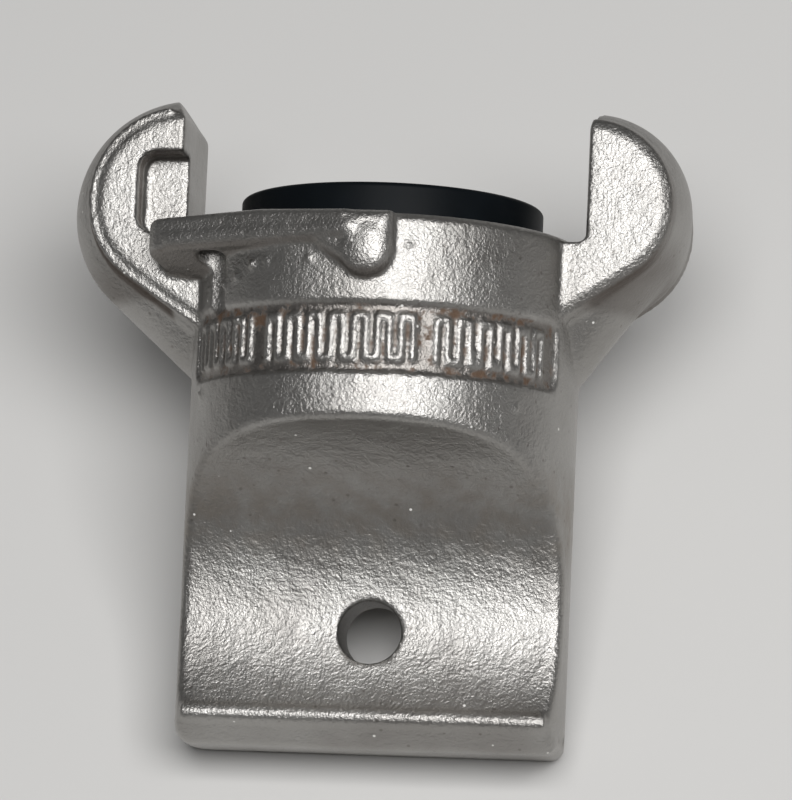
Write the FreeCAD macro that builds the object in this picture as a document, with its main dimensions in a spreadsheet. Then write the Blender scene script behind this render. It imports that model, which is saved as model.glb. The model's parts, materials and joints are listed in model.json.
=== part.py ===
import FreeCAD, Part
import os
import Sketcher
from math import atan, degrees, sqrt

# Blank end of a two-lug twist-claw air hose coupling: one casting and its rubber ring gasket.
# Millimetres. The casting is drawn with its axis along Z, the flat tail end at height 0, the
# coupling face above it and the front of the scooped tab towards -Y. At the end both pieces are
# laid down on the tab's back crest and the trunk, as the coupling comes to rest with its front
# up: +Z is up and the axis runs along +Y and rises towards the claws.

doc = FreeCAD.newDocument("blank_end_claw_coupling")
sizes = doc.addObject("Spreadsheet::Sheet", "sizes")

DIMENSIONS = (
    # scooped tail tab
    ("scoop_radius", 19.8), ("scoop_height", 14.7), ("web_thickness", 7.6),
    ("tail_end_growth", 0.4), ("tail_bevel", 3.2), ("tail_corner_round", 2.3),
    ("scoop_edge_round", 1.1), ("tail_crest_round", 0.9),
    ("tab_hole_radius", 3.5), ("tab_hole_height", 12.95),
    # trunk: the round body that carries the head and runs out into the tab
    ("body_radius", 21.6), ("head_height", 22.6), ("face_edge_round", 0.7),
    # recessed panel on the front of the band
    ("panel_drop", 9.9), ("panel_width", 7.7), ("panel_depth", 0.6), ("panel_half_angle", 68.7),
    ("panel_corner_round", 1.7),
    # gasket, its seat in the head and the blind hollow below it
    ("seat_wall", 3.0), ("gasket_clearance", 0.2), ("seat_depth", 7.5), ("gasket_lip", 1.5),
    ("gasket_wall", 5.8), ("gasket_flange_thickness", 4.2), ("gasket_proud", 4.1),
    ("gasket_bevel", 0.9), ("hollow_step", 0.4), ("hollow_depth", 9.6),
    # claws; as cast, the left one stands further out than the right one
    ("claw_gap", 1.0), ("closed_rise", 3.8), ("closed_radius", 8.3), ("closed_depth", 8.2),
    ("open_rise", 3.1), ("open_radius", 9.05), ("open_depth", 8.5), ("claw_edge", 1.2),
    ("claw_edge_depth", 0.7), ("claw_band", 1.5), ("claw_band_depth", 2.6),
    ("claw_root_depth", 2.3), ("claw_seat_drop", 0.6), ("claw_seat_round", 0.8),
    ("claw_face_slope", 34.0), ("claw_band_slope", 36.0),
    ("right_rim_rise", 4.1), ("right_rim_radius", 10.9), ("right_rim_slope", 54.0),
    ("right_tip_bevel", 1.0),
    ("left_rim_rise", 2.5), ("left_rim_radius", 13.2), ("left_rim_slope", 42.0),
    ("left_tip_bevel", 2.2), ("tip_bevel_height", 12.4), ("tip_bevel_rise", 3.5),
    ("pocket_width", 5.0), ("pocket_height", 8.5), ("pocket_depth", 4.6),
    ("pocket_corner_round", 1.8),
    # cam ledges
    ("ledge_yaw", 23.0), ("ledge_proud", 0.7), ("ledge_tip", 18.8), ("ledge_start", 7.2),
    ("ledge_crown_place", 4.0), ("ledge_crown", 0.5), ("ledge_start_drop", 1.2),
    ("ledge_tip_drop", 3.8), ("ledge_start_root_drop", 4.6), ("ledge_tip_root_drop", 6.0),
    ("ledge_start_depth", 2.1), ("ledge_tip_depth", 6.8), ("ledge_tip_round", 2.2),
    ("ledge_edge_round", 0.8),
    # round stop knob at the end of each ledge
    ("knob_left", 2.6), ("knob_right", 3.1), ("knob_proud", 1.0), ("knob_length", 3.7),
    ("knob_drop", 7.3), ("knob_edge_round", 1.3),
    # safety clip hole drilled down through each ledge
    ("clip_hole_radius", 1.7), ("clip_hole_from_tip", 7.5), ("clip_hole_inset", 3.1),
    ("clip_hole_depth", 10.3),
    # places that follow from the sizes above
    ("tail_end_thickness", "web_thickness + tail_end_growth"),
    ("face_height", "scoop_height + scoop_radius + head_height"),
    ("panel_high", "face_height - panel_drop"), ("panel_low", "panel_high - panel_width"),
    ("groove_radius", "body_radius - seat_wall"),
    ("gasket_flange_radius", "groove_radius - gasket_clearance"),
    ("gasket_nose_radius", "gasket_flange_radius - gasket_lip"),
    ("gasket_bore_radius", "gasket_nose_radius - gasket_wall"),
    ("seat_height", "face_height - seat_depth"),
    ("hollow_radius", "gasket_bore_radius + hollow_step"),
    ("hollow_floor", "seat_height - hollow_depth"),
    ("claw_inner", "body_radius + claw_gap"), ("claw_root", "body_radius - claw_root_depth"),
    ("claw_seat", "face_height - claw_seat_drop"),
    ("pocket_outer", "claw_inner + pocket_width"), ("pocket_high", "face_height + pocket_height"),
    ("ledge_reach", "body_radius + ledge_proud"), ("knob_front", "ledge_reach + knob_proud"),
    ("knob_back", "knob_front - knob_length"),
    ("clip_hole_along", "ledge_tip - clip_hole_from_tip"),
    ("clip_hole_out", "ledge_reach - clip_hole_inset"),
    ("clip_hole_bottom", "face_height - clip_hole_depth"),
)
for row, (alias, value) in enumerate(DIMENSIONS, start=1):
    sizes.set("A%d" % row, alias)
    sizes.set("B%d" % row, "=" + value if isinstance(value, str) else str(value))
    sizes.setAlias("B%d" % row, alias)
doc.recompute()


def size(alias):
    """The present value of one cell."""
    return float(sizes.get(alias))


def cells(text):
    """An expression written with bare aliases, turned into one that reads the sheet."""
    words = sorted((alias for alias, _ in DIMENSIONS), key=len, reverse=True)
    out, at = "", 0
    while at < len(text):
        word = next((w for w in words if text.startswith(w, at)), None)
        out += "sizes." + word if word else text[at]
        at += len(word) if word else 1
    return out


def origin_part(body, role):
    return next(part for part in body.Origin.OriginFeatures if part.Role == role)


def sketch_on(body, name, role, offset=None):
    """A sketch on one of the body's own planes, moved along the plane's normal by offset."""
    sketch = body.newObject("Sketcher::SketchObject", name)
    sketch.AttachmentSupport = [(origin_part(body, role), "")]
    sketch.MapMode = "FlatFace"
    if offset:
        sketch.setExpression("AttachmentOffset.Base.z", cells(offset))
        doc.recompute()
    return sketch


def arc_between(start, end, radius, turn):
    """The short arc from start to end; turn is 1 anticlockwise and -1 clockwise."""
    chord = end - start
    height = sqrt(max(radius ** 2 - (chord.Length / 2) ** 2, 0))
    side = FreeCAD.Vector(-chord.y, chord.x, 0).normalize() * turn
    centre = (start + end) / 2 + side * height
    circle = Part.Circle(centre, FreeCAD.Vector(0, 0, 1), radius)
    first, last = (start, end) if turn > 0 else (end, start)
    return Part.ArcOfCircle(circle, circle.parameter(first), circle.parameter(last))


def place_point(sketch, edge, point, across, up):
    """Bind one end of an edge to two expressions, or to an axis where the text is 0."""
    for kind, axis, text in (("DistanceX", -2, across), ("DistanceY", -1, up)):
        if text == "0":
            sketch.addConstraint(Sketcher.Constraint("PointOnObject", edge, point, axis))
            continue
        value = float(sketch.evalExpression(cells(text)))
        number = sketch.addConstraint(Sketcher.Constraint(kind, -1, 1, edge, point, value))
        sketch.setExpression("Constraints[%d]" % number, cells(text))


def outline(sketch, corners):
    """A closed outline. Each corner is (across, up), or (across, up, radius, turn) where the
    edge to the next corner is an arc; all are expressions."""
    points = [FreeCAD.Vector(float(sketch.evalExpression(cells(corner[0]))),
                             float(sketch.evalExpression(cells(corner[1]))), 0)
              for corner in corners]
    starts, ends = [], []
    for number, corner in enumerate(corners):
        here, following = points[number], points[(number + 1) % len(points)]
        if len(corner) == 2:
            edge = sketch.addGeometry(Part.LineSegment(here, following))
            starts.append((edge, 1))
            ends.append((edge, 2))
            continue
        radius, turn = float(sketch.evalExpression(cells(corner[2]))), corner[3]
        edge = sketch.addGeometry(arc_between(here, following, radius, turn))
        starts.append((edge, 1 if turn > 0 else 2))
        ends.append((edge, 2 if turn > 0 else 1))
        held = sketch.addConstraint(Sketcher.Constraint("Radius", edge, radius))
        sketch.setExpression("Constraints[%d]" % held, cells(corner[2]))
    for number, corner in enumerate(corners):
        following = (number + 1) % len(corners)
        sketch.addConstraint(Sketcher.Constraint("Coincident", *ends[number], *starts[following]))
        place_point(sketch, *starts[number], corner[0], corner[1])
    doc.recompute()


def circle_outline(sketch, across, up, radius):
    """One circle with its centre and radius bound to expressions."""
    value = float(sketch.evalExpression(cells(radius)))
    centre = FreeCAD.Vector(float(sketch.evalExpression(cells(across))),
                            float(sketch.evalExpression(cells(up))), 0)
    edge = sketch.addGeometry(Part.Circle(centre, FreeCAD.Vector(0, 0, 1), value))
    place_point(sketch, edge, 3, across, up)
    held = sketch.addConstraint(Sketcher.Constraint("Radius", edge, value))
    sketch.setExpression("Constraints[%d]" % held, cells(radius))
    doc.recompute()


def feature(body, kind, name, profile=None, bound=(), **settings):
    """One feature of a body, with the named properties bound to expressions."""
    made = body.newObject("PartDesign::" + kind, name)
    if profile:
        made.Profile = profile
    for key, value in settings.items():
        setattr(made, key, value)
    for key, text in bound:
        made.setExpression(key, cells(text))
    doc.recompute()
    return made


def round_edges(body, name, radius, chosen):
    """A fillet on the edges of the body's present shape that the test picks."""
    base = body.Tip
    names = ["Edge%d" % number for number, edge in enumerate(base.Shape.Edges, start=1)
             if chosen(edge)]
    made = body.newObject("PartDesign::Fillet", name)
    made.Base = (base, names)
    made.setExpression("Radius", cells(radius))
    doc.recompute()
    return made


def both_sides(body, name):
    """The whole piece again, half a turn round the axis."""
    made = body.newObject("PartDesign::PolarPattern", name)
    made.TransformMode = "Whole shape"
    made.Axis = (origin_part(body, "Z_Axis"), [""])
    made.Angle = 360
    made.Occurrences = 2
    body.Tip = made
    doc.recompute()
    return made


def new_body(name):
    body = doc.addObject("PartDesign::Body", name)
    body.AllowCompound = True
    return body


def middle(edge):
    return edge.valueAt((edge.FirstParameter + edge.LastParameter) / 2)


def same(first, second, slack=0.02):
    return abs(first - second) < slack


def make_trunk():
    body = new_body("trunk")
    round_bar = sketch_on(body, "round_bar", "XZ_Plane")
    outline(round_bar, (("0", "0"), ("body_radius", "0"),
                        ("body_radius", "face_height - face_edge_round"),
                        ("body_radius - face_edge_round", "face_height"), ("0", "face_height")))
    feature(body, "Revolution", "turned_trunk", round_bar, Angle=360,
            ReferenceAxis=(round_bar, ["V_Axis"]))

    past = "body_radius + 2"
    half_web, half_end = "web_thickness / 2", "tail_end_thickness / 2"
    centre = "(%s + scoop_radius)" % half_web
    for side, sign in (("front", -1), ("back", 1)):
        scoop = sketch_on(body, side + "_scoop", "YZ_Plane")
        crest = "%s - sqrt(scoop_radius ^ 2 - (scoop_height - tail_bevel) ^ 2)" % centre
        top = "scoop_height + sqrt(scoop_radius ^ 2 - (%s - (%s)) ^ 2)" % (centre, past)
        outline(scoop, (("%d * (%s)" % (sign, past), "-1"), ("%d * (%s)" % (sign, half_end), "-1"),
                        ("%d * (%s)" % (sign, half_end), "0"),
                        ("%d * (%s)" % (sign, crest), "tail_bevel", "scoop_radius", sign * -1),
                        ("%d * (%s)" % (sign, half_web), "scoop_height", "scoop_radius", sign * -1),
                        ("%d * (%s)" % (sign, past), top)))
        feature(body, "Pocket", side + "_hollow", scoop, Type="ThroughAll", SideType="Symmetric")

    hole = sketch_on(body, "tab_hole_circle", "XZ_Plane")
    circle_outline(hole, "0", "tab_hole_height", "tab_hole_radius")
    feature(body, "Pocket", "tab_hole", hole, Type="ThroughAll", SideType="Symmetric")

    panel = sketch_on(body, "panel_section", "YZ_Plane")
    outline(panel, (("-(body_radius + 1)", "panel_low"), ("-(body_radius - panel_depth)", "panel_low"),
                    ("-(body_radius - panel_depth)", "panel_high"),
                    ("-(body_radius + 1)", "panel_high")))
    feature(body, "Groove", "panel", panel, (("Angle", "2 * panel_half_angle"),), Midplane=True,
            ReferenceAxis=(panel, ["V_Axis"]))

    low, high = size("panel_low"), size("panel_high")
    round_edges(body, "panel_corners", "panel_corner_round",
                lambda edge: edge.Length < 2 * size("panel_depth") and middle(edge).y < 0
                and (same(middle(edge).z, low) or same(middle(edge).z, high)))
    round_edges(body, "tail_corners", "tail_corner_round",
                lambda edge: same(edge.BoundBox.ZMax, 0) and same(abs(middle(edge).x),
                size("body_radius"), 1.0) and abs(middle(edge).y) < 1)
    round_edges(body, "scoop_edges", "scoop_edge_round",
                lambda edge: edge.BoundBox.YLength > size("body_radius") / 2
                and edge.BoundBox.ZLength > size("body_radius") / 2)
    crest = size("tail_bevel")
    round_edges(body, "tail_crests", "tail_crest_round",
                lambda edge: edge.BoundBox.XLength > size("body_radius")
                and same(edge.BoundBox.ZMin, crest) and same(edge.BoundBox.ZMax, crest))
    return body


def claw_outline(sketch, rise, radius, slope):
    """Side view of a claw: round back, sloping flank, root in the trunk, straight inner side."""
    centre, turn = "(face_height + %s)" % rise, "%s * 1 deg" % slope
    touch_across = "claw_inner + (%s) * sin(%s)" % (radius, turn)
    touch_up = "%s - (%s) * cos(%s)" % (centre, radius, turn)
    outline(sketch, (("claw_inner", "%s + %s" % (centre, radius), radius, -1),
                     (touch_across, touch_up),
                     ("claw_root", "%s - (%s - claw_root) * tan(%s)" % (touch_up, touch_across, turn)),
                     ("claw_root", "claw_seat"),
                     ("claw_inner - claw_seat_round", "claw_seat", "claw_seat_round", 1),
                     ("claw_inner", "claw_seat + claw_seat_round")))


def make_claw(side, yaw):
    """One claw, drawn on the right with its closed face to the front, and turned by its yaw."""
    body = new_body(side + "_claw")
    body.Placement.Rotation = FreeCAD.Rotation(FreeCAD.Vector(0, 0, 1), yaw)
    sections = []
    for name, place, rise, radius, slope in (
            ("closed_face", "closed_depth", "closed_rise", "closed_radius", "claw_face_slope"),
            ("closed_edge", "closed_depth - claw_edge_depth", "closed_rise",
             "(closed_radius + claw_edge)", "claw_face_slope"),
            ("closed_crease", "closed_depth - claw_band_depth", "closed_rise",
             "(closed_radius + claw_band)", "claw_band_slope"),
            ("rim", None, side + "_rim_rise", side + "_rim_radius", side + "_rim_slope"),
            ("open_crease", "claw_band_depth - open_depth", "open_rise",
             "(open_radius + claw_band)", "claw_band_slope"),
            ("open_edge", "claw_edge_depth - open_depth", "open_rise",
             "(open_radius + claw_edge)", "claw_face_slope"),
            ("open_face", "-open_depth", "open_rise", "open_radius", "claw_face_slope")):
        sketch = sketch_on(body, "%s_%s" % (side, name), "XZ_Plane", place)
        claw_outline(sketch, rise, radius, slope)
        sections.append(sketch)
    closed_face, closed_edge, closed_crease, rim, open_crease, open_edge, open_face = sections
    feature(body, "AdditiveLoft", side + "_round_back", closed_crease, Sections=[rim, open_crease])
    feature(body, "AdditiveLoft", side + "_closed_band", closed_face,
            Sections=[closed_edge, closed_crease], Ruled=True)
    feature(body, "AdditiveLoft", side + "_open_band", open_crease,
            Sections=[open_edge, open_face], Ruled=True)

    pocket = sketch_on(body, side + "_pocket_outline", "XZ_Plane", "pocket_depth - open_depth")
    corner = "pocket_corner_round"
    outline(pocket, (("claw_inner - 1", "claw_seat"),
                     ("pocket_outer - %s" % corner, "claw_seat", corner, 1),
                     ("pocket_outer", "claw_seat + %s" % corner),
                     ("pocket_outer", "pocket_high - %s" % corner, corner, 1),
                     ("pocket_outer - %s" % corner, "pocket_high"), ("claw_inner - 1", "pocket_high")))
    feature(body, "Pocket", side + "_pocket", pocket, (("Length", "pocket_depth + 1"),))

    bevel = sketch_on(body, side + "_tip_section", "XZ_Plane")
    low, across = "face_height + tip_bevel_height", "claw_inner + %s_tip_bevel" % side
    outline(bevel, (("claw_inner - 1", low), ("claw_inner", low),
                    (across, low + " + tip_bevel_rise"), (across, low + " + tip_bevel_rise + 1"),
                    ("claw_inner - 1", low + " + tip_bevel_rise + 1")))
    feature(body, "Pocket", side + "_tip_bevel", bevel, Type="ThroughAll", SideType="Symmetric")
    return body


def make_ledges():
    """Cam ledges, drawn along -X and turned by their yaw."""
    body = new_body("ledges")
    body.Placement.Rotation.Axis = FreeCAD.Vector(0, 0, 1)
    body.setExpression("Placement.Rotation.Angle", cells("-ledge_yaw"))
    sections = []
    share = "((ledge_start + ledge_crown_place) / (ledge_start + ledge_tip))"

    def between(what):
        return "(ledge_start_%s + (ledge_tip_%s - ledge_start_%s) * %s)" % (what, what, what, share)

    for name, place, depth, drop, root_drop, top in (
            ("ledge_start_section", "ledge_start", "ledge_start_depth", "ledge_start_drop",
             "ledge_start_root_drop", "face_height"),
            ("ledge_crown_section", "-ledge_crown_place", between("depth"), between("drop"),
             between("root_drop"), "face_height + ledge_crown"),
            ("ledge_tip_section", "-ledge_tip", "ledge_tip_depth", "ledge_tip_drop",
             "ledge_tip_root_drop", "face_height")):
        sketch = sketch_on(body, name, "YZ_Plane", place)
        inside = "%s - ledge_reach" % depth
        outline(sketch, ((inside, top), (inside, "face_height - %s" % root_drop),
                         ("-ledge_reach", "face_height - %s" % drop), ("-ledge_reach", top)))
        sections.append(sketch)
    feature(body, "AdditiveLoft", "ledge", sections[0], Sections=sections[1:], Ruled=True)
    reach, tip = size("ledge_reach"), size("ledge_tip")
    round_edges(body, "ledge_tip_corner", "ledge_tip_round",
                lambda edge: same(edge.BoundBox.XMin, -tip) and same(edge.BoundBox.XMax, -tip)
                and same(middle(edge).y, -reach))
    round_edges(body, "ledge_edges", "ledge_edge_round",
                lambda edge: edge.BoundBox.XLength > 5 and same(edge.BoundBox.YMin, -reach))
    both_sides(body, "ledge_pair")
    return body


def make_knobs():
    body = new_body("knobs")
    sketch = sketch_on(body, "knob_outline", "XZ_Plane", "knob_back")
    radius = "(knob_left + knob_right) / 2"
    low = "face_height - knob_drop"
    middle_across = "(knob_right - knob_left) / 2"
    outline(sketch, (("-knob_left", "face_height"), ("-knob_left", "%s + %s" % (low, radius), radius, 1),
                     (middle_across, low, radius, 1), ("knob_right", "%s + %s" % (low, radius)),
                     ("knob_right", "face_height")))
    feature(body, "Pad", "knob", sketch, (("Length", "knob_front - knob_back"),))
    front = -size("knob_front")
    round_edges(body, "knob_edges", "knob_edge_round",
                lambda edge: same(edge.BoundBox.YMin, front) and same(edge.BoundBox.YMax, front))
    both_sides(body, "knob_pair")
    return body


def make_socket():
    """The metal that the blind hollow and the gasket's seat and groove take away."""
    body = new_body("socket")
    sketch = sketch_on(body, "socket_section", "XZ_Plane")
    mouth = "gasket_nose_radius + gasket_clearance"
    lip = "seat_height + gasket_flange_thickness + gasket_clearance"
    outline(sketch, (("0", "hollow_floor"), ("hollow_radius", "hollow_floor"),
                     ("hollow_radius", "seat_height"), ("groove_radius", "seat_height"), ("groove_radius", lip),
                     (mouth, lip), (mouth, "face_height + 1"), ("0", "face_height + 1")))
    feature(body, "Revolution", "socket_turned", sketch, Angle=360,
            ReferenceAxis=(sketch, ["V_Axis"]))
    return body


def make_clip_drill():
    """The safety clip holes, which also score the trunk below the ledges."""
    body = new_body("clip_drills")
    body.Placement.Rotation.Axis = FreeCAD.Vector(0, 0, 1)
    body.setExpression("Placement.Rotation.Angle", cells("-ledge_yaw"))
    sketch = sketch_on(body, "clip_hole_circle", "XY_Plane", "clip_hole_bottom")
    circle_outline(sketch, "-clip_hole_along", "-clip_hole_out", "clip_hole_radius")
    feature(body, "Pad", "clip_drill", sketch, (("Length", "face_height + 1 - clip_hole_bottom"),))
    both_sides(body, "clip_drill_pair")
    return body


def make_gasket():
    body = new_body("sealing_gasket")
    sketch = sketch_on(body, "gasket_section", "XZ_Plane")
    shoulder, top = "seat_height + gasket_flange_thickness", "face_height + gasket_proud"
    outline(sketch, (("gasket_bore_radius", "seat_height"), ("gasket_flange_radius", "seat_height"),
                     ("gasket_flange_radius", shoulder), ("gasket_nose_radius", shoulder),
                     ("gasket_nose_radius", "%s - gasket_bevel" % top),
                     ("gasket_nose_radius - gasket_bevel", top), ("gasket_bore_radius", top)))
    feature(body, "Revolution", "gasket_ring", sketch, Angle=360,
            ReferenceAxis=(sketch, ["V_Axis"]))
    return body


solid_parts = [make_trunk(), make_claw("right", 0), make_claw("left", 180), make_ledges(),
               make_knobs()]
cutters = [make_socket(), make_clip_drill()]
gasket = make_gasket()

metal = doc.addObject("Part::MultiFuse", "metal")
metal.Shapes = solid_parts
removed = doc.addObject("Part::MultiFuse", "removed")
removed.Shapes = cutters
casting = doc.addObject("Part::Cut", "coupling_casting")
casting.Base = metal
casting.Tool = removed
doc.recompute()

# At rest the coupling lies on the back crest of the tab and on the trunk above the scoop.
scoop_top = size("scoop_height") + size("scoop_radius")
crest_drop = size("scoop_height") - size("tail_bevel")
crest_out = (size("web_thickness") / 2 + size("scoop_radius")
             - sqrt(size("scoop_radius") ** 2 - crest_drop ** 2))
rest_pitch = degrees(atan((size("body_radius") - crest_out) / (scoop_top - size("tail_bevel"))))
lay = FreeCAD.Rotation(FreeCAD.Vector(1, 0, 0), -90)
turn = FreeCAD.Rotation(FreeCAD.Vector(1, 0, 0), rest_pitch).multiply(lay)
casting.Placement = FreeCAD.Placement(FreeCAD.Vector(), turn)
box = casting.Shape.optimalBoundingBox(True, False)
move = FreeCAD.Vector(-box.Center.x, -box.Center.y, -box.ZMin)
for piece in (casting, gasket):
    piece.Placement = FreeCAD.Placement(move, turn)
doc.recompute()

for item in doc.Objects:
    if "Invalid" in item.State or "Error" in item.State:
        raise RuntimeError("%s failed: %s" % (item.Name, item.State))
os.makedirs("parts", exist_ok=True)
for piece in (casting, gasket):
    if piece.Shape.isNull() or not piece.Shape.isValid() or len(piece.Shape.Solids) != 1:
        raise RuntimeError("%s has no valid single solid" % piece.Name)
    piece.Shape.exportStep("parts/%s.step" % piece.Label)
    box = piece.Shape.optimalBoundingBox(True, False)
    print("%s: %.1f x %.1f x %.1f mm, %.0f mm3" % (piece.Label, box.XLength, box.YLength,
                                                   box.ZLength, piece.Shape.Volume))
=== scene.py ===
import json
from math import cos, pi, radians, sin

import bmesh
import bpy
from mathutils import Matrix, Vector


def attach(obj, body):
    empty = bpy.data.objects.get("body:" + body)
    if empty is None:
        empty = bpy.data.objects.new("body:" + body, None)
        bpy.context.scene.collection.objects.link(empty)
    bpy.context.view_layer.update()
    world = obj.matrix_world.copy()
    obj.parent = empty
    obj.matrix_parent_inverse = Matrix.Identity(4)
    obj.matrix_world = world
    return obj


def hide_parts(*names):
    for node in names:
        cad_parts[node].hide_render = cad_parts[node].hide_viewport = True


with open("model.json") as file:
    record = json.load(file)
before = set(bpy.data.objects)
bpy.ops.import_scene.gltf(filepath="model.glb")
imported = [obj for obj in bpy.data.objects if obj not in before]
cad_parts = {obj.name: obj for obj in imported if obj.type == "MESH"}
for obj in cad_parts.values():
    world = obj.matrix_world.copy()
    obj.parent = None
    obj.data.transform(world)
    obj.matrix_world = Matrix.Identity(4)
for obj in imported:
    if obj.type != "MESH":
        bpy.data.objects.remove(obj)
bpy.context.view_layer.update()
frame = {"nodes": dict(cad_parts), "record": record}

MM = 0.001
nodes = frame["nodes"]
mounts = {mount["name"]: mount for mount in frame["record"]["mounts"]}

# The coupling's own axes: across to the right, depth away from the front, height towards the claws.
HEIGHT = Vector(mounts["sealing_face"]["axis"]).normalized()
FRONT = Vector(mounts["tab_hole"]["axis"]).normalized()
ACROSS = HEIGHT.cross(FRONT).normalized()
HOLE_HEIGHT = 12.95 * MM
TAIL = Vector(mounts["tab_hole"]["pos_m"]) - HEIGHT * HOLE_HEIGHT
OWN = Matrix((ACROSS, -FRONT, HEIGHT)).transposed().to_4x4()
OWN.translation = TAIL
OWN_MM = OWN @ Matrix.Scale(MM, 4)

# Sizes and places from here to the camera are in millimetres, on the coupling's own axes.
BODY_RADIUS = 21.6
PANEL_DEPTH = 0.6
GASKET = {"bore": 11.1, "nose": 16.9, "flange": 18.4, "seat": 49.6, "shoulder": 53.8, "top": 61.2,
          "bevel": 0.55, "bore_bevel": 0.3}
GASKET_STEPS, BEVEL_STEPS, GASKET_SHARP = 128, 6, radians(40)

# The battlement line that stands in the panel: uprights in three groups, tied top and bottom in turn.
LINE_GROUPS = (9, 14, 12)
LINE_START, LINE_GAP, LINE_PITCH = -24.6, 1.35, 1.32
LINE = {"Pitch": LINE_PITCH, "Middle": 43.35, "Body Radius": BODY_RADIUS,
        "Seat Radius": BODY_RADIUS - PANEL_DEPTH + 0.05}
UPRIGHT_HALF, TIE_HALF, LINE_ROUND = (0.26, 0.42, 2.6), (LINE_PITCH / 2, 0.42, 0.26), 0.14

# The bead on the crease round the pocket side of each claw, and the edges of the casting that carry it.
BEAD_RADIUS, BEAD_STEP = 0.52, 0.35
CREASE_INSIDE, CREASE_FOOT = 24.1, 42.0
CREASE_FLAT, CREASE_STEEP, CREASE_ANGLE = (0.4, 0.97), 0.3, 0.3

# The front crest and the end corners of the tab, the fronts of the ledges with the knob, and the
# burrs, each a place and a radius.
TAB_TOP, TAB_CORNER, TAB_CORNER_INSET = 10.0, 1.9, 0.15
CREST_RADIUS, CREST_PROUD, CREST_LENGTH = 1.1, 0.3, 40.4
LEDGE_TIP, LEDGE_HEEL, LEDGE_RADIUS = Vector((-22.6, -13.5, 54.7)), Vector((-1.4, -22.3, 55.1)), 1.4
ELBOW_START, ELBOW_END, ELBOW_RADIUS = Vector((-4.6, -20.6, 54.2)), Vector((-1.4, -21.9, 52.2)), 1.3
KNOB_CENTRE, KNOB_RADII = Vector((0.55, -22.75, 53.2)), (2.4, 0.95, 3.1)
BURRS = ((-13.9, -18.9, 51.6, 0.55), (-15.6, -16.6, 50.6, 0.45), (-12.3, -20.3, 51.9, 0.40),
         (-17.3, -14.2, 49.8, 0.50), (4.9, -21.6, 53.6, 0.35), (-6.4, -21.5, 52.0, 0.35),
         (-19.4, -10.2, 38.2, 0.45), (16.6, -14.2, 36.9, 0.35))
ROD_SIDES = 24
MERGE = 0.0005

# How the casting's skin is softened: the voxel, the passes of smoothing and the share of faces kept.
VOXEL, SMOOTH_FACTOR, SMOOTH_PASSES, KEPT_SHARE = 0.30, 0.5, 6, 0.45

# Where the finish and the painted shade change: each pair is the start and the end of one soft change.
SCOOP_FOOT, SCOOP_TOP = (19.0, 25.0), (26.0, 33.0)
PANEL_FOOT, PANEL_TOP = (39.1, 39.7), (47.0, 47.6)
PANEL_SIDE, PANEL_FLOOR = (-9.0, -7.0), (21.0, 21.3)
# Painted shade: the undersides that face the tail above the claw roots, and the bands round the claws,
# far darker on the left claw.
SHELTERED_FACING, SHELTERED_HEIGHT = (-0.75, -0.25), (48.5, 50.0)
LEFT_CLAW_SIDE, LEFT_CLAW_FOOT = (-23.6, -22.8), (42.0, 46.0)
BEAD_DEPTH, LEFT_BAND_START, LEFT_BAND_END = (-8.12, -7.95), (-7.75, -7.35), (-6.2, -5.2)
RIGHT_CLAW_SIDE, RIGHT_CLAW_FOOT = (22.8, 23.6), (48.0, 52.0)
RIGHT_BAND_START, RIGHT_BAND_END = (-7.9, -7.3), (-6.4, -5.2)

# Colours of the finishes, and of the painted shade.
STEEL_LIGHT, STEEL_GREY = (0.40, 0.39, 0.375), (0.33, 0.318, 0.303)
SCOOP_BROWN, PIT_DIRT = (0.30, 0.272, 0.24), (0.12, 0.10, 0.085)
# PAINTED_SHADE is the colour of painted shade, not of dirt on the metal.
PAINTED_SHADE, STAIN, DUST = (0.115, 0.097, 0.084), (0.10, 0.048, 0.018), (0.78, 0.77, 0.74)
RUBBER_BLACK, RUBBER_BLOOM = (0.0025, 0.0035, 0.0045), (0.005, 0.007, 0.009)
FLOOR_PAPER, WORLD_GREY = (0.65, 0.643, 0.63, 1.0), (0.10, 0.10, 0.10, 1.0)

# The photograph's camera, as angles from the front of the tab and a distance from a point on the axis.
CAMERA_AZIMUTH, CAMERA_RISE, CAMERA_ROLL = radians(7.63), radians(7.95), radians(2.56)
CAMERA_DISTANCE, CAMERA_TARGET = 650.0, Vector((1.30, 0, 39.47))
FOCAL_PIXELS, PHOTO_WIDTH, SENSOR, CLIP_START = 5825.0, 792.0, 36.0, 0.01

# The one soft lamp beside the camera and the floor, in metres and watts.
LAMP_AZIMUTH, LAMP_RISE, LAMP_DISTANCE = radians(12), radians(8), 0.85
LAMP_SIZE, LAMP_POWER = (0.68, 0.40), 7.5
FLOOR_HALF = 3.0


class Value:
    """A node socket that takes Python's operators; each one adds a Math node."""

    def __init__(self, form, socket):
        self.form, self.socket = form, socket

    def _math(self, operation, first, second=None, clamp=False):
        return self.form.node("ShaderNodeMath", {"operation": operation, "use_clamp": clamp},
                              {0: first, 1: second})

    def __add__(self, other):
        return self._math("ADD", self, other)

    def __radd__(self, other):
        return self._math("ADD", other, self)

    def __sub__(self, other):
        return self._math("SUBTRACT", self, other)

    def __rsub__(self, other):
        return self._math("SUBTRACT", other, self)

    def __mul__(self, other):
        return self._math("MULTIPLY", self, other)

    def __rmul__(self, other):
        return self._math("MULTIPLY", other, self)

    def __truediv__(self, other):
        return self._math("DIVIDE", self, other)

    def __pow__(self, other):
        return self._math("POWER", self, other)

    def __mod__(self, other):
        return self._math("MODULO", self, other)

    def sine(self):
        return self._math("SINE", self)

    def cosine(self):
        return self._math("COSINE", self)

    def clamped(self):
        return self._math("ADD", self, 0.0, clamp=True)

    def step(self, low, high):
        """0 below low, 1 above high, smooth between."""
        return self.form.node("ShaderNodeMapRange", {"interpolation_type": "SMOOTHSTEP"},
                              {"Value": self, "From Min": low, "From Max": high})


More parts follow.
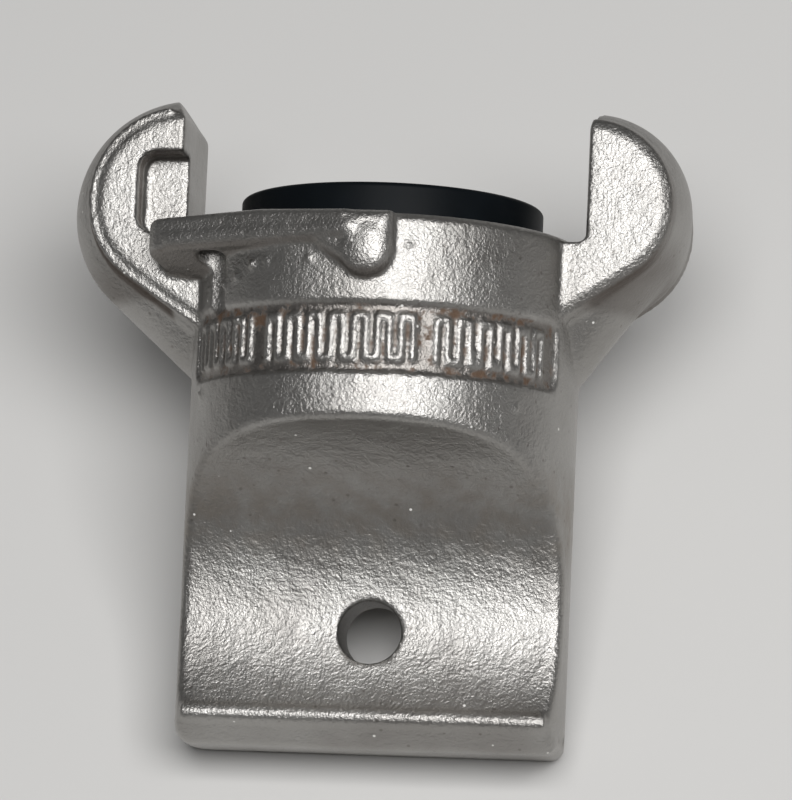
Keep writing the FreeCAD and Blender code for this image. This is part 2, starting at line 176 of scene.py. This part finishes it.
class Nodes:
    """A node tree, of a material or of a form."""

    def __init__(self, tree):
        self.tree = tree

    def link(self, target, value):
        if isinstance(value, Value):
            self.tree.links.new(value.socket, target)
        elif value is not None:
            target.default_value = value

    def node(self, kind, settings=None, inputs=None, output=0):
        """A node with its settings made first, then the values or links of its sockets."""
        made = self.tree.nodes.new(kind)
        for key, value in (settings or {}).items():
            setattr(made, key, value)
        for key, value in (inputs or {}).items():
            self.link(made.inputs[key], value)
        return Value(self, made.outputs[output])

    def vector(self, x, y, z):
        return self.node("ShaderNodeCombineXYZ", None, {0: x, 1: y, 2: z})


class Paint(Nodes):
    """One material."""

    def __init__(self, name):
        self.material = bpy.data.materials.new(name)
        self.material.use_nodes = True
        super().__init__(self.material.node_tree)
        self.shader = self.tree.nodes["Principled BSDF"]

    def set(self, **inputs):
        for key, value in inputs.items():
            self.link(self.shader.inputs[key.replace("_", " ")], value)

    def colour(self, first, second, amount):
        """A mix of two colours, each a tuple or a socket."""
        made = self.tree.nodes.new("ShaderNodeMix")
        made.data_type = "RGBA"
        self.link(made.inputs["Factor"], amount)
        for key, value in ((6, first), (7, second)):
            self.link(made.inputs[key], (*value, 1.0) if isinstance(value, tuple) else value)
        return Value(self, made.outputs[2])

    def own_place(self):
        """Object coordinates turned into the coupling's own axes, in millimetres."""
        place = self.node("ShaderNodeTexCoord", output="Object")
        parts = []
        for axis in (ACROSS, -FRONT, HEIGHT):
            dot = self.node("ShaderNodeVectorMath", {"operation": "DOT_PRODUCT"},
                            {0: place, 1: tuple(axis / MM)}, output="Value")
            parts.append(dot - TAIL.dot(axis) / MM)
        return self.vector(*parts), parts

    def noise(self, place, scale, detail=2.0, rough=0.5):
        return self.node("ShaderNodeTexNoise", None,
                         {"Vector": place, "Scale": scale, "Detail": detail, "Roughness": rough})

    def spots(self, place, scale):
        """Distance to scattered points, in cells."""
        return self.node("ShaderNodeTexVoronoi", {"feature": "F1"},
                         {"Vector": place, "Scale": scale}, output="Distance")

    def facing(self, direction):
        """How far the surface faces a direction, from -1 to 1."""
        normal = self.node("ShaderNodeNewGeometry", output="Normal")
        return self.node("ShaderNodeVectorMath", {"operation": "DOT_PRODUCT"},
                         {0: normal, 1: tuple(direction)}, output="Value")

    def bump(self, height, distance, strength=1.0, normal=None):
        inputs = {"Height": height, "Distance": distance, "Strength": strength}
        if normal:
            inputs["Normal"] = normal
        return self.node("ShaderNodeBump", None, inputs)


class Form(Nodes):
    """A Geometry Nodes tree with named sizes."""

    def __init__(self, name, sizes):
        super().__init__(bpy.data.node_groups.new(name, "GeometryNodeTree"))
        sockets = self.tree.interface
        sockets.new_socket("Geometry", in_out="INPUT", socket_type="NodeSocketGeometry")
        for size in sizes:
            sockets.new_socket(size, in_out="INPUT", socket_type="NodeSocketFloat")
        sockets.new_socket("Geometry", in_out="OUTPUT", socket_type="NodeSocketGeometry")
        self.inputs = self.tree.nodes.new("NodeGroupInput").outputs
        self.result = self.tree.nodes.new("NodeGroupOutput").inputs

    def given(self, name):
        """A size, or the geometry that the form starts from."""
        return Value(self, self.inputs[name])

    def finish(self, geometry, material):
        solid = self.node("GeometryNodeRealizeInstances", None, {"Geometry": geometry})
        painted = self.node("GeometryNodeSetMaterial", None,
                            {"Geometry": solid, "Material": material})
        self.link(self.result["Geometry"], painted)

    def made(self, piece, sizes):
        """The piece with this form worked in at these sizes."""
        modifier = piece.modifiers.new(self.tree.name, "NODES")
        modifier.node_group = self.tree
        for socket in self.tree.interface.items_tree:
            if socket.in_out == "INPUT" and socket.name in sizes:
                modifier[socket.identifier] = float(sizes[socket.name])
        return applied(piece)


def cast_stainless():
    """Shot-blasted casting skin: fine grain, pits, brown stain, dirt in the panel and dust, with
    painted shade on the undersides and round the claws.
    """
    paint = Paint("cast_stainless")
    place, (across, depth, height) = paint.own_place()
    broad = paint.noise(place, scale=0.09, detail=3.0)
    patches = paint.noise(place, scale=0.45, detail=3.0)
    grain = paint.noise(place, scale=3.2, detail=3.0, rough=0.6)
    pebbles = paint.noise(place, scale=1.5, detail=2.0)
    swell = paint.noise(place, scale=0.35, detail=2.0)
    pits = 1.0 - paint.spots(place, scale=0.55).step(0.05, 0.16)
    dust = 1.0 - paint.spots(place, scale=0.28).step(0.035, 0.055)

    scoop = (1.0 - height.step(*SCOOP_TOP)) * height.step(*SCOOP_FOOT)
    panel = (height.step(*PANEL_FOOT) * (1.0 - height.step(*PANEL_TOP))
             * (1.0 - depth.step(*PANEL_SIDE)))
    radius = (across * across + depth * depth) ** 0.5
    recess = panel * (1.0 - radius.step(*PANEL_FLOOR))
    blotches = paint.noise(place, scale=0.5, detail=3.0, rough=0.6)
    stain = (recess * blotches.step(0.48, 0.62)).clamped()

    # Painted shade: darker on the undersides that face the tail high on the head, and on the bands
    # round the claws, much darker on the left claw than on the right.
    facing = paint.facing(HEIGHT)
    sheltered = (1.0 - facing.step(*SHELTERED_FACING)) * height.step(*SHELTERED_HEIGHT)
    left_claw = (1.0 - across.step(*LEFT_CLAW_SIDE)) * height.step(*LEFT_CLAW_FOOT)
    left_band = left_claw * (depth.step(*BEAD_DEPTH) * 0.4 + depth.step(*LEFT_BAND_START) * 0.6)
    left_band = left_band * (1.0 - depth.step(*LEFT_BAND_END))
    right_claw = across.step(*RIGHT_CLAW_SIDE) * height.step(*RIGHT_CLAW_FOOT)
    right_band = right_claw * depth.step(*RIGHT_BAND_START) * (1.0 - depth.step(*RIGHT_BAND_END))
    painted_shade = (sheltered * 0.6 + left_band * (0.75 + 0.35 * patches) + right_band * 0.35).clamped()

    steel = paint.colour(STEEL_LIGHT, STEEL_GREY, broad.step(0.35, 0.7))
    brownish = paint.colour(steel, SCOOP_BROWN, (scoop * patches.step(0.3, 0.7)) * 0.7)
    dirty = paint.colour(brownish, PIT_DIRT, pits * 0.4 + recess * 0.5)
    # The painted shade is mixed in over the metal's own colour.
    shaded = paint.colour(dirty, PAINTED_SHADE, painted_shade)
    stained = paint.colour(shaded, STAIN, stain * 0.85)
    dusty = paint.colour(stained, DUST, dust)

    rough = 0.345 + 0.10 * patches + stain * 0.3 + scoop * 0.08 + painted_shade * 0.12 + dust * 0.4
    relief = (grain.step(0.28, 0.72) * (1.0 - scoop * 0.5) + pebbles.step(0.3, 0.7) * 0.7
              - pits * 0.4)
    lumps = paint.bump(swell, distance=0.30 * MM, strength=0.6)
    surface = paint.bump(relief, distance=0.042 * MM, strength=0.85, normal=lumps)
    paint.set(Base_Color=dusty, Metallic=1.0 - stain * 0.7 - dust * 0.9, Roughness=rough,
              Normal=surface)
    return paint.material


def gasket_rubber():
    """Smooth moulded black rubber with a faint bloom."""
    paint = Paint("gasket_rubber")
    place, _ = paint.own_place()
    bloom = paint.noise(place, scale=0.25, detail=3.0)
    specks = paint.noise(place, scale=3.0, detail=2.0)
    paint.set(Base_Color=paint.colour(RUBBER_BLACK, RUBBER_BLOOM, bloom), Specular_IOR_Level=0.08,
              Roughness=0.42 + 0.12 * bloom,
              Normal=paint.bump(specks, distance=0.02 * MM, strength=0.4))
    return paint.material


def mesh_object(name, mesh):
    piece = bpy.data.objects.new(name, mesh)
    bpy.context.scene.collection.objects.link(piece)
    return piece


def from_bmesh(name, build):
    """A new object whose mesh is filled in by build, a function of a bmesh."""
    shape = bmesh.new()
    build(shape)
    mesh = bpy.data.meshes.new(name)
    shape.to_mesh(mesh)
    shape.free()
    return mesh_object(name, mesh)


def applied(piece):
    """The object's mesh with its modifiers worked in."""
    bpy.context.view_layer.update()
    graph = bpy.context.evaluated_depsgraph_get()
    done = bpy.data.meshes.new_from_object(piece.evaluated_get(graph))
    old = piece.data
    piece.modifiers.clear()
    piece.data = done
    if old.users == 0:
        bpy.data.meshes.remove(old)
    return piece


def own_to_world(piece):
    """Takes a mesh drawn in millimetres on the coupling's own axes to its place."""
    piece.data.transform(OWN_MM)
    return piece


def rounded_box(shape, half, bevel):
    """A box round the origin with all its edges rounded."""
    made = bmesh.ops.create_cube(shape, size=2.0, matrix=Matrix.Diagonal((*half, 1.0)))
    edges = {edge for vertex in made["verts"] for edge in vertex.link_edges}
    bmesh.ops.bevel(shape, geom=list(edges), offset=bevel, segments=2, affect="EDGES", profile=0.7)


def row_form(steel):
    """Copies of one box set round the body at an even pitch, swung up and down in turn."""
    form = Form("row_round_body", ("Count", "Start", "Swing", *LINE))
    number = form.node("GeometryNodeInputIndex")
    turn = (form.given("Start") + number * form.given("Pitch")) / form.given("Body Radius")
    up = form.given("Middle") + form.given("Swing") * (1.0 - (number % 2.0) * 2.0)
    reach = form.given("Seat Radius")
    places = form.vector(turn.sine() * reach, turn.cosine() * reach * -1.0, up)
    points = form.node("GeometryNodePoints", None,
                       {"Count": form.given("Count"), "Position": places})
    form.finish(form.node("GeometryNodeInstanceOnPoints", None,
                          {"Points": points, "Instance": form.given("Geometry"),
                           "Rotation": form.vector(0.0, 0.0, turn)}), steel)
    return form


def panel_lines(steel):
    """The battlement line round the panel, each group a row of uprights and a row of ties."""
    form = row_form(steel)
    swing = UPRIGHT_HALF[2] - TIE_HALF[2]
    start, rows = LINE_START, []
    for count in LINE_GROUPS:
        for name, half, sizes in (
                ("uprights", UPRIGHT_HALF, {"Count": count, "Start": start, "Swing": 0.0}),
                ("ties", TIE_HALF, {"Count": count - 1, "Start": start + LINE_PITCH / 2,
                                    "Swing": swing})):
            box = from_bmesh(name, lambda shape: rounded_box(shape, half, LINE_ROUND))
            rows.append(own_to_world(form.made(box, {**LINE, **sizes})))
        start += count * LINE_PITCH + LINE_GAP
    return rows


def own_bmesh(mesh):
    """A merged copy of a mesh, in millimetres on the coupling's own axes."""
    shape = bmesh.new()
    shape.from_mesh(mesh)
    bmesh.ops.transform(shape, matrix=OWN_MM.inverted(), verts=shape.verts)
    bmesh.ops.remove_doubles(shape, verts=shape.verts, dist=MERGE)
    shape.normal_update()
    return shape


def is_crease(edge):
    """Whether an edge lies between the flat and the steep side of a claw's pocket-side rim."""
    middle = (edge.verts[0].co + edge.verts[1].co) / 2
    if len(edge.link_faces) != 2 or middle.x * middle.y <= 0:
        return False
    if abs(middle.x) < CREASE_INSIDE or middle.z < CREASE_FOOT:
        return False
    flat, steep = sorted((abs(face.normal.y) for face in edge.link_faces), reverse=True)
    return (CREASE_FLAT[0] < flat < CREASE_FLAT[1] and steep < CREASE_STEEP
            and edge.calc_face_angle() > CREASE_ANGLE)


def crease_beads(cast, steel):
    """Beads that run along the creases of the claws."""
    places = []
    for edge in filter(is_crease, cast.edges):
        start, end = (vertex.co for vertex in edge.verts)
        steps = max(1, round(edge.calc_length() / BEAD_STEP))
        places += [start.lerp(end, step / steps) for step in range(steps)]
    path = bpy.data.meshes.new("crease_beads")
    path.from_pydata(places, [], [])

    form = Form("bead", ("Radius",))
    bead = form.node("GeometryNodeMeshIcoSphere", None,
                     {"Radius": form.given("Radius"), "Subdivisions": 1}, output="Mesh")
    form.finish(form.node("GeometryNodeInstanceOnPoints", None,
                          {"Points": form.given("Geometry"), "Instance": bead}), steel)
    return own_to_world(form.made(mesh_object("crease_beads", path), {"Radius": BEAD_RADIUS}))


def rod(shape, start, end, radius):
    """A round rod from start to end."""
    along = end - start
    turned = along.to_track_quat("Z", "Y").to_matrix().to_4x4()
    bmesh.ops.create_cone(shape, segments=ROD_SIDES, cap_ends=True, radius1=radius, radius2=radius,
                          depth=along.length, matrix=Matrix.Translation((start + end) / 2) @ turned)


def ball(shape, centre, radius):
    bmesh.ops.create_icosphere(shape, subdivisions=2, radius=radius,
                               matrix=Matrix.Translation(centre))


def tab_crest(cast):
    """The thick round front crest of the tab."""
    tab = (vertex.co for vertex in cast.verts if vertex.co.z < TAB_TOP)
    front = min(tab, key=lambda place: place.y)
    centre = Vector((0, front.y + CREST_RADIUS - CREST_PROUD, front.z))
    half = Vector((CREST_LENGTH / 2, 0, 0))
    return own_to_world(from_bmesh(
        "tab_crest", lambda shape: rod(shape, centre - half, centre + half, CREST_RADIUS)))


def ledge_fronts():
    """The full, rounded front of both ledges, their elbow at the knob and the knob's crown."""
    def build(shape):
        for start, end, radius in ((LEDGE_TIP, LEDGE_HEEL, LEDGE_RADIUS),
                                   (ELBOW_START, ELBOW_END, ELBOW_RADIUS)):
            rod(shape, start, end, radius)
            ball(shape, start, radius)
            ball(shape, end, radius)
        crown = Matrix.Translation(KNOB_CENTRE) @ Matrix.Diagonal((*KNOB_RADII, 1))
        bmesh.ops.create_icosphere(shape, subdivisions=4, radius=1, matrix=crown)
        copied = bmesh.ops.duplicate(shape, geom=shape.verts[:] + shape.edges[:] + shape.faces[:])
        back = [part for part in copied["geom"] if isinstance(part, bmesh.types.BMVert)]
        bmesh.ops.rotate(shape, verts=back, cent=(0, 0, 0), matrix=Matrix.Rotation(pi, 3, "Z"))
    return own_to_world(from_bmesh("ledge_fronts", build))


def casting_burrs(casting):
    """Small burrs and nodules, each set on the point of the casting that is nearest to its place."""
    def build(shape):
        for x, y, z, radius in BURRS:
            _, point, _, _ = casting.closest_point_on_mesh(OWN_MM @ Vector((x, y, z)))
            ball(shape, OWN_MM.inverted() @ point, radius)
    return own_to_world(from_bmesh("casting_burrs", build))


def round_tab_corners(mesh):
    """Rounds the two end corners of the tab, seen from its front, as the real ones are."""
    to_own = OWN_MM.inverted()
    for vertex in mesh.vertices:
        own = to_own @ vertex.co
        if own.z > TAB_CORNER or abs(own.x) < BODY_RADIUS - TAB_CORNER:
            continue
        side = 1 if own.x > 0 else -1
        centre = Vector((side * (BODY_RADIUS - TAB_CORNER_INSET - TAB_CORNER), own.y, TAB_CORNER))
        arm = own - centre
        if arm.length > TAB_CORNER:
            vertex.co = OWN_MM @ (centre + arm * (TAB_CORNER / arm.length))


def soften(skin):
    """Fuses the skin and its trim, and softens the edges as cast metal has them."""
    fuse = skin.modifiers.new("fused", "REMESH")
    fuse.mode = "VOXEL"
    fuse.voxel_size = VOXEL * MM
    smooth = skin.modifiers.new("soft_edges", "SMOOTH")
    smooth.factor, smooth.iterations = SMOOTH_FACTOR, SMOOTH_PASSES
    thin = skin.modifiers.new("thin", "DECIMATE")
    thin.ratio = KEPT_SHARE
    applied(skin)
    skin.data.polygons.foreach_set("use_smooth", [True] * len(skin.data.polygons))


def casting_skin():
    """The casting and its trim as one piece of cast metal."""
    steel = cast_stainless()
    casting = nodes["coupling_casting"]
    cast = own_bmesh(casting.data)
    trim = [*panel_lines(steel), casting_burrs(casting), crease_beads(cast, steel),
            tab_crest(cast), ledge_fronts()]
    cast.free()

    skin = mesh_object("casting_skin", casting.data.copy())
    whole = bmesh.new()
    whole.from_mesh(skin.data)
    for piece in trim:
        whole.from_mesh(piece.data)
        bpy.data.objects.remove(piece)
    bmesh.ops.remove_doubles(whole, verts=whole.verts, dist=MERGE * MM)
    whole.to_mesh(skin.data)
    whole.free()
    skin.data.materials.clear()
    soften(skin)
    round_tab_corners(skin.data)
    skin.data.materials.append(steel)
    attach(skin, "root")
    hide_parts("coupling_casting")


def gasket_ring():
    """The ring gasket, turned from its section."""
    g = GASKET
    section = [(g["bore"], g["seat"]), (g["flange"], g["seat"]), (g["flange"], g["shoulder"]),
               (g["nose"], g["shoulder"])]
    for step in range(BEVEL_STEPS + 1):
        angle = step / BEVEL_STEPS * pi / 2
        section.append((g["nose"] - g["bevel"] + g["bevel"] * cos(angle),
                        g["top"] - g["bevel"] + g["bevel"] * sin(angle)))
    section.append((g["bore"] + g["bore_bevel"], g["top"]))
    section.append((g["bore"], g["top"] - g["bore_bevel"]))

    def build(shape):
        rings = []
        for step in range(GASKET_STEPS):
            angle = 2 * pi * step / GASKET_STEPS
            rings.append([shape.verts.new((radius * cos(angle), radius * sin(angle), up))
                          for radius, up in section])
        for step, ring in enumerate(rings):
            following = rings[(step + 1) % GASKET_STEPS]
            for number in range(len(section)):
                after = (number + 1) % len(section)
                shape.faces.new((ring[number], following[number], following[after], ring[after]))
        bmesh.ops.recalc_face_normals(shape, faces=shape.faces)

    ring = own_to_world(from_bmesh("gasket_ring", build))
    ring.data.polygons.foreach_set("use_smooth", [True] * len(ring.data.polygons))
    ring.data.materials.append(gasket_rubber())
    ring.data.set_sharp_from_angle(angle=GASKET_SHARP)
    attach(ring, "root")
    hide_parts("sealing_gasket")


def axes_towards(azimuth, rise, roll=0.0):
    """Right, up and out directions of something that looks back at the coupling from a direction
    given from the tab's front: azimuth to the right, rise towards the claws."""
    out = (ACROSS * (sin(azimuth) * cos(rise)) + FRONT * (cos(azimuth) * cos(rise))
           + HEIGHT * sin(rise))
    right = (-out).cross(HEIGHT).normalized()
    up = right.cross(-out)
    return right * cos(roll) + up * sin(roll), up * cos(roll) - right * sin(roll), out


def placed(piece, axes, distance):
    """Puts a camera or lamp at a distance in metres from the target, along the out direction."""
    matrix = Matrix(axes).transposed().to_4x4()
    matrix.translation = OWN_MM @ CAMERA_TARGET + axes[2] * distance
    piece.matrix_world = matrix
    bpy.context.scene.collection.objects.link(piece)
    return piece


def make_camera():
    """The photograph's camera."""
    lens = bpy.data.cameras.new("camera")
    lens.sensor_fit = "HORIZONTAL"
    lens.sensor_width = SENSOR
    lens.lens = FOCAL_PIXELS / PHOTO_WIDTH * SENSOR
    lens.clip_start = CLIP_START
    axes = axes_towards(CAMERA_AZIMUTH, -CAMERA_RISE, CAMERA_ROLL)
    bpy.context.scene.camera = placed(bpy.data.objects.new("camera", lens), axes,
                                      CAMERA_DISTANCE * MM)


def make_stage():
    """A plain floor, a dim even world and the one soft lamp."""
    floor = from_bmesh("floor", lambda shape: bmesh.ops.create_grid(
        shape, x_segments=1, y_segments=1, size=FLOOR_HALF))
    paper = Paint("floor_paper")
    paper.set(Base_Color=FLOOR_PAPER, Roughness=0.9)
    floor.data.materials.append(paper.material)

    world = bpy.data.worlds.new("studio")
    bpy.context.scene.world = world
    world.use_nodes = True
    world.node_tree.nodes["Background"].inputs["Color"].default_value = WORLD_GREY

    window = bpy.data.lights.new("window", "AREA")
    window.shape = "RECTANGLE"
    window.size, window.size_y = LAMP_SIZE
    window.energy = LAMP_POWER
    placed(bpy.data.objects.new("window", window), axes_towards(LAMP_AZIMUTH, LAMP_RISE),
           LAMP_DISTANCE)


casting_skin()
gasket_ring()
make_camera()
make_stage()
bpy.context.scene.view_settings.view_transform = "Standard"
